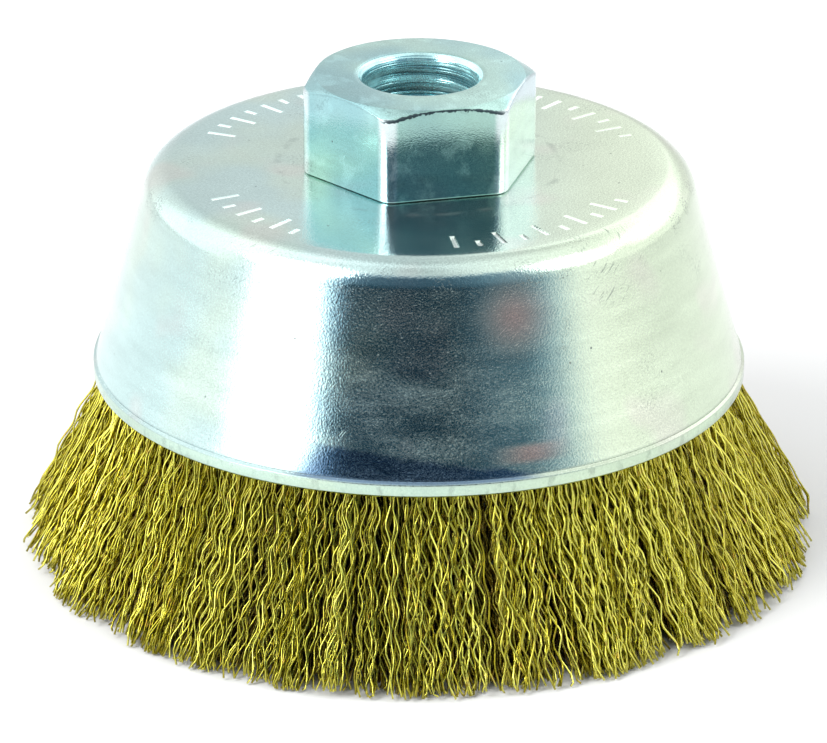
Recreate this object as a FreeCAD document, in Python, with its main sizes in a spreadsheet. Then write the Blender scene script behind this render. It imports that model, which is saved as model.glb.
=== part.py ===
"""Wire cup brush for an angle grinder, in millimetres.

The brush stands on the tips of its wires, with the drive nut on top. Z runs up along the
spindle axis and the origin is on that axis, in the plane of the wire tips.
"""
import FreeCAD, Part
import Sketcher
import math
import os

from FreeCAD import Placement, Rotation, Vector

# Driving dimensions: name, value, meaning
SIZES = (
    ("nut_across_flats", 24.0, "hexagon, flat to flat"),
    ("nut_height", 10.8, "hexagon above the plate"),
    ("nut_corner_round", 1.8, "radius on the six upright corners"),
    ("nut_face_radius", 11.9, "flat face inside the top bevel"),
    ("nut_bevel_angle", 30.0, "top bevel, degrees from the face"),
    ("thread_minor_radius", 5.9, "bore at the crests of the thread"),
    ("bore_mouth_radius", 7.2, "countersink at the top of the bore"),
    ("bore_foot_radius", 7.0, "flare left by the riveting punch"),
    ("spigot_radius", 9.0, "round neck through both cups"),
    ("rivet_radius", 11.4, "neck end, riveted over"),
    ("rivet_height", 1.6, "thickness of the riveted flange"),
    ("rivet_bevel", 0.6, "bevel on the riveted flange"),
    ("cup_height", 25.0, "outer cup, edge to plate"),
    ("cup_wall", 1.5, "sheet of the outer cup"),
    ("plate_radius", 30.8, "where plate and wall lines meet"),
    ("shoulder_radius", 3.6, "outside bend between plate and wall"),
    ("rim_radius", 37.6, "rim band, outside"),
    ("rim_band_height", 1.9, "upright band at the edge"),
    ("rim_step", 0.25, "band stands proud of the wall"),
    ("crease_depth", 0.35, "crease above the band"),
    ("crease_height", 0.5, "crease above the band"),
    ("edge_bevel", 0.3, "broken edge of the band"),
    ("inner_wall", 1.2, "sheet of the inner cup"),
    ("inner_top_radius", 20.5, "inner cup beside the plate"),
    ("inner_lip_radius", 25.0, "inner cup at its lip"),
    ("inner_depth", 16.5, "inner cup, lip to plate"),
    ("inner_bend", 2.0, "bend between its disc and wall"),
    ("ring_wire_radius", 1.5, "wire of the retaining ring"),
    ("wire_fold", 3.0, "wires packed over the ring"),
    ("wire_trim", 20.6, "free wire below the cup"),
    ("tip_radius", 45.6, "outer wire tips"),
    ("tip_inner_radius", 28.0, "inner wire tips"),
    ("stray_reach", 1.4, "stray tips beyond the others"),
    ("tip_jag", 2.0, "unevenness of the trimmed ends"),
    ("tuft_count", 30.0, "hanks round the ring"),
    ("crimp_pitch", 6.2, "length of one wave"),
    ("crimp_swing", 0.9, "side to side travel of a wave"),
    ("inner_crimp_pitch", 12.4, "longer waves on the inner legs"),
    ("inner_crimp_swing", 0.7, "their side to side travel"),
    ("strand_depth", 1.0, "thickness of a strand"),
    ("strand_gap", 0.38, "between strands at the cup mouth"),
    ("strand_root", 5.0, "strand length hidden by the cup"),
    ("mouth_lead", 1.2, "wires run on straight before they flare"),
    ("layer_gap", 0.1, "between layers of strands"),
    ("split_width", 0.5, "split in the packed middle wires"),
    ("split_height", 9.0, "split in the packed middle wires"),
    ("bore_clearance", 0.05, "cups round the neck"),
    ("wire_clearance", 0.1, "wires to the steel parts"),
    ("tuft_clearance", 0.1, "tuft to tuft"),
)

VARIANTS = 5
STRANDS_PER_TUFT = 4
INNER_STRANDS_PER_TUFT = 2

# Relations between the cups, as sheet expressions
WALL_SLOPE = ("((Sizes.rim_radius - Sizes.rim_step - Sizes.plate_radius)"
              " / (Sizes.cup_height - Sizes.rim_band_height))")
WALL_ACROSS = f"(Sizes.cup_wall * sqrt(1 + {WALL_SLOPE}^2))"
INNER_SLOPE = "((Sizes.inner_lip_radius - Sizes.inner_top_radius) / Sizes.inner_depth)"
INNER_ACROSS = f"(Sizes.inner_wall * sqrt(1 + {INNER_SLOPE}^2))"
SPIGOT_LENGTH = "(Sizes.cup_wall + Sizes.inner_wall + Sizes.rivet_height)"
PLATE_TOP = "(Sizes.wire_trim + Sizes.cup_height)"
OUTER_BEND = "(Sizes.shoulder_radius - Sizes.cup_wall)"


def make_sheet(doc):
    """Write the driving dimensions into a spreadsheet."""
    sheet = doc.addObject("Spreadsheet::Sheet", "Sizes")
    for row, (name, value, meaning) in enumerate(SIZES, start=1):
        sheet.set(f"A{row}", name)
        sheet.set(f"B{row}", str(value))
        sheet.set(f"C{row}", meaning)
        sheet.setAlias(f"B{row}", name)
    doc.recompute()
    return sheet


def new_body(doc, label, height_expression):
    """Start a body on the spindle axis, raised to its own height."""
    body = doc.addObject("PartDesign::Body", label)
    body.Label = label
    body.setExpression("Placement.Base.z", height_expression)
    return body


def origin_plane(body, role):
    """Find one of the body's own base planes."""
    return next(item for item in body.Origin.OriginFeatures if item.Role == role)


def closed_sketch(body, name, role, corners):
    """Sketch a closed outline whose corners (name, across, up) are sheet expressions."""
    sketch = body.newObject("Sketcher::SketchObject", name)
    sketch.AttachmentSupport = [(origin_plane(body, role), "")]
    sketch.MapMode = "FlatFace"
    count = len(corners)
    start = [Vector(10 + 5 * math.cos(2 * math.pi * k / count),
                    5 * math.sin(2 * math.pi * k / count), 0) for k in range(count)]
    for k in range(count):
        sketch.addGeometry(Part.LineSegment(start[k], start[(k + 1) % count]), False)
    for k in range(count):
        sketch.addConstraint(Sketcher.Constraint("Coincident", k, 2, (k + 1) % count, 1))
    for k, (corner, across, up) in enumerate(corners):
        for kind, suffix, expression in (("DistanceX", "across", across), ("DistanceY", "up", up)):
            value = start[k].x if kind == "DistanceX" else start[k].y
            index = sketch.addConstraint(Sketcher.Constraint(kind, k, 1, value))
            sketch.renameConstraint(index, f"{corner}_{suffix}")
            sketch.setExpression(f"Constraints.{corner}_{suffix}", expression)
    return sketch


def turn(body, name, kind, sketch):
    """Revolve (or groove) a sketch a full turn about the spindle axis."""
    feature = body.newObject(f"PartDesign::{kind}", name)
    feature.Profile = sketch
    feature.ReferenceAxis = (sketch, ["V_Axis"])
    feature.Angle = 360.0
    sketch.Visibility = False
    return feature


def round_edges(body, name, base, edges, radius_expression):
    """Fillet the edges of the base feature that the test picks out."""
    names = [f"Edge{k}" for k, edge in enumerate(base.Shape.Edges, start=1) if edges(edge)]
    fillet = body.newObject("PartDesign::Fillet", name)
    fillet.Base = (base, names)
    fillet.setExpression("Radius", radius_expression)
    return fillet


def make_hex_nut(doc):
    """Turn the nut from hexagon bar, with its neck riveted over under the cups."""
    nut = new_body(doc, "hex_nut", f"{PLATE_TOP} - {SPIGOT_LENGTH}")
    half = "Sizes.nut_across_flats / 2"
    corner = "Sizes.nut_across_flats / sqrt(3)"
    top = f"({SPIGOT_LENGTH} + Sizes.nut_height)"

    hexagon = closed_sketch(nut, "hexagon", "XY_Plane", (
        ("right", corner, "0"),
        ("back_right", f"{corner} / 2", half),
        ("back_left", f"-{corner} / 2", half),
        ("left", f"-{corner}", "0"),
        ("front_left", f"-{corner} / 2", f"-{half}"),
        ("front_right", f"{corner} / 2", f"-{half}"),
    ))
    hexagon.setExpression("AttachmentOffset.Base.z", SPIGOT_LENGTH)
    bar = nut.newObject("PartDesign::Pad", "hexagon_bar")
    bar.Profile = hexagon
    bar.setExpression("Length", "Sizes.nut_height")
    hexagon.Visibility = False
    doc.recompute()

    def upright(edge):
        """Tell the six upright corners of the bar."""
        return abs(edge.tangentAt(edge.FirstParameter).z) > 0.99

    round_edges(nut, "corner_rounds", bar, upright, "Sizes.nut_corner_round")

    outside = f"{corner} + 1"
    bevel = closed_sketch(nut, "bevel_outline", "XZ_Plane", (
        ("face", "Sizes.nut_face_radius", top),
        ("foot", outside,
         f"{top} - ({outside} - Sizes.nut_face_radius) * tan(Sizes.nut_bevel_angle * 1deg)"),
        ("air", outside, f"{top} + 1"),
        ("above", "Sizes.nut_face_radius", f"{top} + 1"),
    ))
    turn(nut, "face_bevel", "Groove", bevel)

    neck = closed_sketch(nut, "neck_outline", "XZ_Plane", (
        ("centre", "0", "0"),
        ("foot", "Sizes.rivet_radius - Sizes.rivet_bevel", "0"),
        ("flange", "Sizes.rivet_radius", "Sizes.rivet_bevel"),
        ("flange_top", "Sizes.rivet_radius", "Sizes.rivet_height"),
        ("neck", "Sizes.spigot_radius", "Sizes.rivet_height"),
        ("neck_top", "Sizes.spigot_radius", SPIGOT_LENGTH),
        ("centre_top", "0", SPIGOT_LENGTH),
    ))
    turn(nut, "riveted_neck", "Revolution", neck)

    bore = closed_sketch(nut, "bore_outline", "XZ_Plane", (
        ("centre", "0", "0"),
        ("foot", "Sizes.bore_foot_radius", "0"),
        ("wall_foot", "Sizes.thread_minor_radius",
         "Sizes.bore_foot_radius - Sizes.thread_minor_radius"),
        ("wall_top", "Sizes.thread_minor_radius",
         f"{top} - Sizes.bore_mouth_radius + Sizes.thread_minor_radius"),
        ("mouth", "Sizes.bore_mouth_radius", top),
        ("centre_top", "0", top),
    ))
    turn(nut, "bore", "Groove", bore)
    return nut


def make_outer_cup(doc, sheet):
    """Draw the outer cup from sheet: plate, rounded shoulder, conical wall and rim band."""
    cup = new_body(doc, "outer_cup", "Sizes.wire_trim")
    foot = "Sizes.rim_radius - Sizes.rim_step"
    hole = "Sizes.spigot_radius + Sizes.bore_clearance"
    under = "Sizes.cup_height - Sizes.cup_wall"
    inside = f"(Sizes.plate_radius - {WALL_ACROSS})"
    section = closed_sketch(cup, "cup_section", "XZ_Plane", (
        ("hole_top", hole, "Sizes.cup_height"),
        ("plate_edge", "Sizes.plate_radius", "Sizes.cup_height"),
        ("wall_foot", f"{foot} - Sizes.crease_height * {WALL_SLOPE}",
         "Sizes.rim_band_height + Sizes.crease_height"),
        ("crease", f"{foot} - Sizes.crease_depth",
         "Sizes.rim_band_height + Sizes.crease_height / 2"),
        ("band_top", "Sizes.rim_radius", "Sizes.rim_band_height"),
        ("band_foot", "Sizes.rim_radius", "Sizes.edge_bevel"),
        ("edge_outside", "Sizes.rim_radius - Sizes.edge_bevel", "0"),
        ("edge_inside", f"{inside} + Sizes.cup_height * {WALL_SLOPE}", "0"),
        ("inside_wall", f"{inside} + Sizes.shoulder_radius * {WALL_SLOPE}",
         "Sizes.cup_height - Sizes.shoulder_radius"),
        ("inside_plate", f"{inside} + Sizes.shoulder_radius * {WALL_SLOPE} - {OUTER_BEND}", under),
        ("hole_foot", hole, under),
    ))
    shell = turn(cup, "drawn_shell", "Revolution", section)
    doc.recompute()

    def plate_edge(edge):
        """Tell the outside corner between plate and wall."""
        box = edge.BoundBox
        return (abs(box.ZMin - sheet.cup_height) < 1e-6
                and abs(box.XMax - sheet.plate_radius) < 1e-6)

    round_edges(cup, "shoulder", shell, plate_edge, "Sizes.shoulder_radius")
    return cup


def make_inner_cup(doc):
    """Draw the inner cup that presses the wires against the outer one."""
    cup = new_body(doc, "inner_cup",
                   f"{PLATE_TOP} - Sizes.cup_wall - Sizes.inner_depth")
    hole = "Sizes.spigot_radius + Sizes.bore_clearance"
    under = "Sizes.inner_depth - Sizes.inner_wall"
    inside = f"(Sizes.inner_top_radius - {INNER_ACROSS})"
    section = closed_sketch(cup, "cup_section", "XZ_Plane", (
        ("hole_top", hole, "Sizes.inner_depth"),
        ("disc_edge", "Sizes.inner_top_radius - Sizes.inner_bend", "Sizes.inner_depth"),
        ("wall_top", f"Sizes.inner_top_radius + Sizes.inner_bend * {INNER_SLOPE}",
         "Sizes.inner_depth - Sizes.inner_bend"),
        ("lip_outside", "Sizes.inner_lip_radius", "0"),
        ("lip_inside", f"{inside} + Sizes.inner_depth * {INNER_SLOPE}", "0"),
        ("inside_wall", f"{inside} + Sizes.inner_bend * {INNER_SLOPE}",
         "Sizes.inner_depth - Sizes.inner_bend"),
        ("inside_disc", "Sizes.inner_top_radius - Sizes.inner_bend", under),
        ("hole_foot", hole, under),
    ))
    turn(cup, "drawn_shell", "Revolution", section)
    return cup


class Channel:
    """The ring-shaped space between the two cups, and the wires' place below it."""

    def __init__(self, sheet):
        self.size = {name: float(getattr(sheet, name)) for name, _, _ in SIZES}
        s = self.size
        self.wall_slope = ((s["rim_radius"] - s["rim_step"] - s["plate_radius"])
                           / (s["cup_height"] - s["rim_band_height"]))
        self.wall_across = s["cup_wall"] * math.hypot(1, self.wall_slope)
        self.inner_slope = (s["inner_lip_radius"] - s["inner_top_radius"]) / s["inner_depth"]
        self.rim = s["wire_trim"]
        self.roof = s["wire_trim"] + s["cup_height"] - s["cup_wall"]
        self.lip = self.roof - s["inner_depth"]
        self.top = self.roof - s["wire_clearance"]
        self.ring_height = (self.top - s["wire_fold"] - s["wire_clearance"]
                            - s["ring_wire_radius"])
        self.ring_radius = (self.outside(self.ring_height) + self.inside(self.ring_height)) / 2
        self.pitch = 2 * math.pi / s["tuft_count"]
        self.layer = s["strand_depth"] + s["layer_gap"]

    def outside(self, height):
        """Radius of the wires against the outer cup's wall at a height."""
        s = self.size
        drop = self.rim + s["cup_height"] - height
        wall = s["plate_radius"] + drop * self.wall_slope - self.wall_across
        return wall - s["wire_clearance"]

    def inside(self, height):
        """Radius of the wires against the inner cup's wall at a height."""
        s = self.size
        return (s["inner_top_radius"] + (self.roof - height) * self.inner_slope
                + s["wire_clearance"])

    def outer_face(self, height, reach=0.0):
        """Radius of the wires' outer face: along the wall, then flared out to the tips."""
        mouth = self.rim - self.size["mouth_lead"]
        if height >= mouth:
            return self.outside(height)
        spread = self.size["tip_radius"] + reach - self.outside(mouth)
        return self.outside(mouth) + spread * (mouth - height) / mouth

    def inner_face(self, height):
        """Radius of the wires' inner face: along the inner cup, then down to the tips."""
        mouth = self.lip - self.size["mouth_lead"]
        if height >= mouth:
            return self.inside(height)
        spread = self.size["tip_inner_radius"] - self.inside(mouth)
        return self.inside(mouth) + spread * (mouth - height) / mouth


def make_ring(doc, channel):
    """Bend the retaining ring from round wire, in short flats, and weld it closed."""
    flats, sides = 60, 8
    radius, wire = channel.ring_radius, channel.size["ring_wire_radius"]
    turn_angles = [2 * math.pi * k / flats for k in range(flats + 1)]
    wire_angles = [2 * math.pi * k / sides for k in range(sides + 1)]
    path = Part.makePolygon([Vector(radius * math.cos(a), radius * math.sin(a), 0)
                             for a in turn_angles])
    section = Part.makePolygon([Vector(radius + wire * math.cos(a), 0, wire * math.sin(a))
                                for a in wire_angles])
    ring = doc.addObject("Part::Feature", "retaining_ring")
    ring.Label = "retaining_ring"
    ring.Shape = path.makePipeShell([section], True, False, 1)
    ring.Placement = Placement(Vector(0, 0, channel.ring_height), Rotation())
    return ring


def irregular(number):
    """Spread whole numbers evenly but irregularly over 0 to 1."""
    golden = (math.sqrt(5) - 1) / 2
    return (number * golden) % 1.0


def bar_across(outline, half_width):
    """Straight bar across the X axis, from an outline of (x, z) corners."""
    corners = [Vector(x, -half_width, z) for x, z in outline]
    face = Part.Face(Part.makePolygon(corners + corners[:1]))
    return face.extrude(Vector(0, 2 * half_width, 0))


def packed_wires(channel):
    """The body of a hank: folded over the ring, with both legs packed side by side."""
    s = channel.size
    half_angle = channel.pitch / 2 - s["tuft_clearance"] / 2 / channel.ring_radius
    flat = math.cos(half_angle)
    half_width = channel.outer_face(0) * math.tan(half_angle) + 1
    bend = max(s["shoulder_radius"] - s["cup_wall"], s["inner_bend"])
    outer_step = channel.rim + s["strand_root"]
    inner_step = channel.lip + s["strand_root"] / 2
    lead_out = channel.rim - s["mouth_lead"]
    lead_in = channel.lip - s["mouth_lead"]
    end = s["tip_jag"]

    def outer(height, layers=0):
        """Flat of the outer side, with its corners on the channel's radius."""
        return (channel.outer_face(height) - layers * channel.layer) * flat

    def inner(height, layers=0):
        """Flat of the inner side, with its middle on the channel's radius."""
        return channel.inner_face(height) + layers * channel.layer

    hank = bar_across([
        (inner(channel.top - bend), channel.top - bend),
        (inner(channel.top - bend) + bend, channel.top),
        (outer(channel.top - bend) - bend, channel.top),
        (outer(channel.top - bend), channel.top - bend),
        (outer(outer_step), outer_step),
        (outer(outer_step, 2), outer_step),
        (outer(lead_out, 2), lead_out),
        (outer(end, 2), end),
        (inner(end, 1), end),
        (inner(lead_in, 1), lead_in),
        (inner(inner_step, 1), inner_step),
        (inner(inner_step), inner_step),
    ], half_width)
    reach = channel.outer_face(0)
    side = reach * math.tan(half_angle)
    corners = [Vector(), Vector(reach, -side, 0), Vector(reach, side, 0), Vector()]
    hank = hank.common(Part.Face(Part.makePolygon(corners)).extrude(Vector(0, 0, channel.top)))

    # the eye that the retaining ring lies in, drawn to a point where the legs meet
    sides = 6
    point = 2.2
    centre = channel.ring_radius * (1 + flat) / 2
    corner = (s["ring_wire_radius"] + s["wire_clearance"]) / math.cos(math.pi / sides)
    eye = []
    for k in range(sides):
        angle = math.pi / 2 + 2 * math.pi * k / sides
        stretch = point if k == sides // 2 else 1.0
        eye.append((centre + corner * math.cos(angle),
                    channel.ring_height + corner * stretch * math.sin(angle)))
    hank = hank.cut(bar_across(eye, half_width))

    # a split opens the middle of the hank above the working face
    split = Part.makeBox(reach, s["split_width"], s["split_height"],
                         Vector(0, -s["split_width"] / 2, 0))
    return hank.cut(split)


def strand(channel, angle, face, side, heights, wave, lean=0.0):
    """One crimped strand: a three-sided bar bent to and fro on its way down.

    face gives the radius of the strand's crest at a height. side is 1 for a strand that
    faces outwards and -1 for one that faces the hollow. heights are those of its start
    inside the hank, its first bend and its trimmed end. wave is half the length of a
    crimp and its swing from side to side. lean is how far every other bend below the
    cup stands out.
    """
    s = channel.size
    start, height, end = heights
    half_wave, swing = wave
    outward = Vector(math.cos(angle), math.sin(angle), 0)
    sideways = Vector(-math.sin(angle), math.cos(angle), 0)
    up = Vector(0, 0, 1)

    points = [outward * face(start) + up * start]
    hand = 1
    while height > end + half_wave / 3:
        leans = hand > 0 and len(points) > 1
        radius = face(height) + (lean if leans else 0.0)
        points.append(outward * radius + sideways * (hand * swing / 2) + up * height)
        height -= half_wave
        hand = -hand
    past = end - s["strand_depth"]
    points.append(outward * face(past) + up * past)

    spacing = channel.pitch * channel.outside(channel.rim) / STRANDS_PER_TUFT
    half_width = (spacing - s["strand_gap"]) / 2
    crest = points[0]
    back = crest - outward * (side * s["strand_depth"])
    section = Part.makePolygon([crest, back + sideways * half_width,
                                back - sideways * half_width, crest])
    bar = Part.makePolygon(points).makePipeShell([section], True, False, 1)
    reach = 2 * s["tip_radius"]
    floor = Part.makeBox(reach, 2 * reach, reach, Vector(0, -reach, end - reach))
    return bar.cut(floor)


def tuft_shape(channel, variant):
    """A whole hank: the packed wires with crimped strands on both faces."""
    s = channel.size
    half_wave = s["crimp_pitch"] / 2
    overlap = s["strand_depth"]
    pieces = []
    for k in range(STRANDS_PER_TUFT):
        front = k % 2 == 0
        layers = 0 if front else 1
        reach = s["stray_reach"] * irregular(3 + variant + 2 * k) if front else 0.0
        trimmed = k == variant % STRANDS_PER_TUFT
        end = 0.0 if trimmed else s["tip_jag"] * irregular(variant + 3 * k)
        phase = irregular(1 + variant * STRANDS_PER_TUFT + k)
        heights = (channel.rim + s["strand_root"] + overlap,
                   channel.rim - s["mouth_lead"] + half_wave * (1 - phase), end)

        def face(height, reach=reach, layers=layers):
            """Radius of this strand's crest."""
            return channel.outer_face(height, reach) - layers * channel.layer

        angle = channel.pitch * ((k + 0.5) / STRANDS_PER_TUFT - 0.5)
        lean = s["crimp_swing"] / 3 if front else 0.0
        wave = (half_wave, s["crimp_swing"])
        pieces.append(strand(channel, angle, face, 1, heights, wave, lean))
    for k in range(INNER_STRANDS_PER_TUFT):
        end = s["tip_jag"] * irregular(2 + variant * INNER_STRANDS_PER_TUFT + k)
        heights = (channel.lip + s["strand_root"] / 2 + overlap,
                   channel.lip - s["mouth_lead"], end)
        angle = channel.pitch * ((k + 0.5) / INNER_STRANDS_PER_TUFT - 0.5)
        wave = (s["inner_crimp_pitch"] / 2, s["inner_crimp_swing"])
        pieces.append(strand(channel, angle, channel.inner_face, -1, heights, wave))
    return packed_wires(channel).multiFuse(pieces)


def make_tufts(doc, channel):
    """Set the hanks round the ring, in a repeating run of variants."""
    count = int(round(channel.size["tuft_count"]))
    shapes = [tuft_shape(channel, variant) for variant in range(VARIANTS)]
    tufts = []
    for k in range(count):
        label = f"wire_tuft_{k + 1:02d}"
        tuft = doc.addObject("Part::Feature", label)
        tuft.Label = label
        tuft.Shape = shapes[k % VARIANTS]
        tuft.Placement = Placement(Vector(), Rotation(Vector(0, 0, 1), 360.0 * k / count))
        tufts.append(tuft)
    return tufts


def check(doc, parts):
    """Stop if any object failed or any part is empty, broken or in pieces."""
    for item in doc.Objects:
        if "Invalid" in item.State or "Error" in item.State:
            raise RuntimeError(f"{item.Name} failed: {item.State}")
    for part in parts:
        if part.Shape.isNull() or not part.Shape.isValid():
            raise RuntimeError(f"{part.Label} has no valid shape")
        if len(part.Shape.Solids) != 1:
            raise RuntimeError(f"{part.Label} has {len(part.Shape.Solids)} solids")


def main():
    """Build the brush and write one file for each part."""
    doc = FreeCAD.newDocument("cup_brush")
    sheet = make_sheet(doc)
    channel = Channel(sheet)
    parts = [make_hex_nut(doc), make_outer_cup(doc, sheet), make_inner_cup(doc)]
    parts.append(make_ring(doc, channel))
    parts.extend(make_tufts(doc, channel))
    doc.recompute()
    check(doc, parts)
    os.makedirs("parts", exist_ok=True)
    for part in parts:
        part.Shape.exportStep(os.path.join("parts", f"{part.Label}.step"))
        print(f"{part.Label}: {part.Shape.Volume:.1f} mm3, {len(part.Shape.Faces)} faces")


main()
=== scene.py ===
"""Looks of a wire cup brush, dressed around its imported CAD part.

Every size is in metres, in the part's own frame: Z runs up along the spindle axis and the tips
of the wires stand on Z = 0. The drive nut, the outer cup and the crimped wires are modelled
finer than their solids and stand for them; the inner cup and the retaining ring are the CAD
part's own, with a better finish.
"""
from __future__ import annotations

import logging
import math
import random
from collections.abc import Callable, Iterable, Sequence
from dataclasses import dataclass, field, replace
from enum import Enum
from functools import cached_property
from typing import Union

import bmesh
import bpy
from mathutils import Matrix, Vector


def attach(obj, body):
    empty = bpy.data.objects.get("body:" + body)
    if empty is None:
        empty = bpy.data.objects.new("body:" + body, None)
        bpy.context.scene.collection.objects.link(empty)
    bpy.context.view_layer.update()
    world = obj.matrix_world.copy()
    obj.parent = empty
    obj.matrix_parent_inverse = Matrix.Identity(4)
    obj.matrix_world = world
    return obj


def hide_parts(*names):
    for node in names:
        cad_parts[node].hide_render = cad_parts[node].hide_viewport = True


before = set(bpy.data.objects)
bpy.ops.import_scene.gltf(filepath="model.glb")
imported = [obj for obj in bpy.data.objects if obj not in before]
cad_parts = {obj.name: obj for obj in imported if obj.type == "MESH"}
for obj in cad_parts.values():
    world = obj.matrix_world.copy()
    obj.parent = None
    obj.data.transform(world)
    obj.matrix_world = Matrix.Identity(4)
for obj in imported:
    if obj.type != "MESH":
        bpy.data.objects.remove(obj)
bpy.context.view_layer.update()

MM = 0.001
ROOT = "root"
Colour = tuple[float, float, float]
Place = tuple[float, float, float]
Span = tuple[float, float]
Spot = tuple[float, float]
Number = Union[float, "Signal"]
UP: Place = (0.0, 0.0, 1.0)
LEVEL: Place = (1.0, 1.0, 0.0)
HALF_SIDE = math.radians(30)
log = logging.getLogger("cup_brush")


class Slot(Enum):
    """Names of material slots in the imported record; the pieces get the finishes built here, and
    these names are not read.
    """

    NUT = "nut_steel"
    CUP = "cup_steel"
    INNER_CUP = "inner_cup_steel"
    RING = "ring_steel"
    WIRE = "wire"


class Signal:
    """A number that varies over a surface; arithmetic on it adds Math nodes."""

    def __init__(self, nodes: Nodes, socket: bpy.types.NodeSocket) -> None:
        """Wrap an output socket of a node tree."""
        self.nodes = nodes
        self.socket = socket

    def math(self, operation: str, *operands: Number) -> Signal:
        """Add a Math node for an operation on its operands."""
        made = self.nodes.add("ShaderNodeMath", {"operation": operation}, dict(enumerate(operands)))
        return Signal(self.nodes, made.outputs[0])

    def __add__(self, other: Number) -> Signal:
        """Add a number or signal."""
        return self.math("ADD", self, other)

    __radd__ = __add__

    def __sub__(self, other: Number) -> Signal:
        """Take a number or signal away."""
        return self.math("SUBTRACT", self, other)

    def __rsub__(self, other: Number) -> Signal:
        """Take this signal away from a number."""
        return self.math("SUBTRACT", other, self)

    def __mul__(self, other: Number) -> Signal:
        """Multiply by a number or signal."""
        return self.math("MULTIPLY", self, other)

    __rmul__ = __mul__

    def over(self, other: Number) -> Signal:
        """Keep the larger of this and another."""
        return self.math("MAXIMUM", self, other)

    def ramp(self, low: float, high: float) -> Signal:
        """Rise smoothly from 0 at one value to 1 at another.

        Args:
            low: Value at which the result is 0.
            high: Value at which the result is 1; it may be the smaller one.

        Returns:
            The smooth step.
        """
        first, last, start, end = (low, high, 0.0, 1.0) if low < high else (high, low, 1.0, 0.0)
        made = self.nodes.add("ShaderNodeMapRange", {"interpolation_type": "SMOOTHSTEP"}, {
            "Value": self, "From Min": first, "From Max": last, "To Min": start, "To Max": end})
        return Signal(self.nodes, made.outputs[0])

    def around(self, middle: float, outer: float, inner: float = 0.0) -> Signal:
        """Fall from 1 within an inner distance of a value to 0 at an outer one."""
        return self.math("ABSOLUTE", self - middle).ramp(outer, inner)


@dataclass(frozen=True)
class Pattern:
    """An endless pattern that is laid over an object.

    Attributes:
        size: Size of its features.
        detail: Octaves of finer features.
        levels: Its values that become 0 and 1, where it is cut off; either may be the larger.
        shift: Which part of the endless pattern is used.
        stretch: How much faster it changes along each of its axes.
        turn: Angle by which it is turned, about the object's Z and its Y.
    """

    size: float
    detail: float = 2.0
    levels: Span | None = None
    shift: float = 0.0
    stretch: Place = (1.0, 1.0, 1.0)
    turn: float = 0.0


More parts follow.
